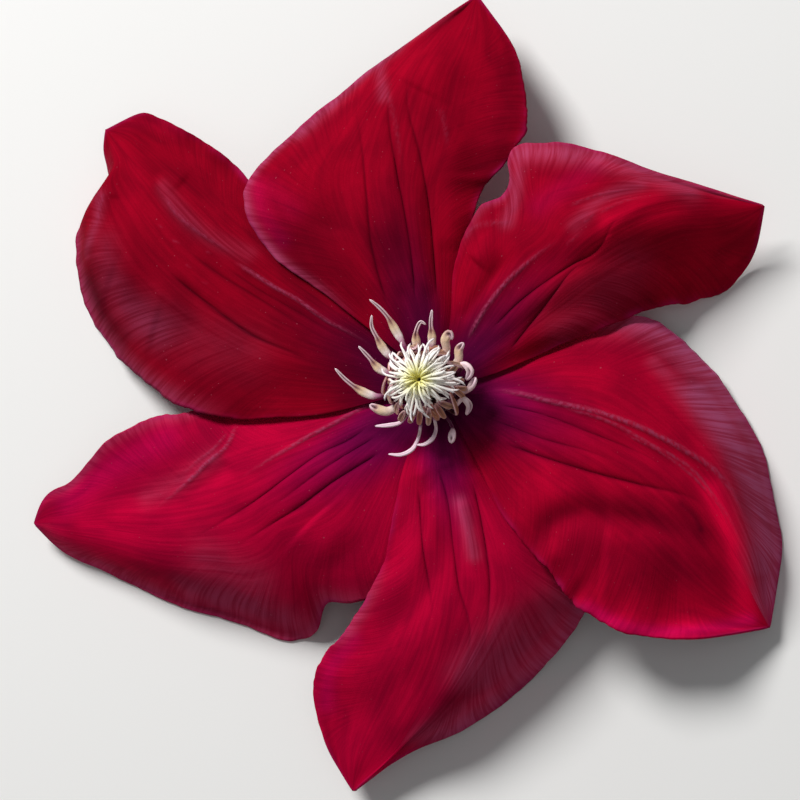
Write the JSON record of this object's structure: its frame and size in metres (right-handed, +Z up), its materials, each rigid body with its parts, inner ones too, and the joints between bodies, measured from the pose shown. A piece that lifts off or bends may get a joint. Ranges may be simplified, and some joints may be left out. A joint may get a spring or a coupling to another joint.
{
  "type": "clematis flower",
  "caption": "Picked clematis bloom with broad pointed crimson sepals spread round a pale boss of stamens and styles, lying face up on its cut stalk.",
  "frame": {"origin": "middle of the bloom's outline on the surface that it lies on", "axes": "+Z up through the face of the bloom, +Y towards the sepal that is topmost in the picture"},
  "size_m": [0.1294, 0.1353, 0.03],
  "materials": {
    "sepal": "velvety matt",
    "stamen": "satin",
    "style": "satin",
    "stalk": "satin"
  },
  "bodies": {
    "root": {"sepal_top": "sepal", "sepal_upper_right": "sepal", "sepal_lower_right": "sepal", "sepal_bottom": "sepal", "sepal_lower_left": "sepal", "sepal_upper_left": "sepal", "stamens": "stamen", "styles": "style", "stalk": "stalk"}
  },
  "joints": []
}
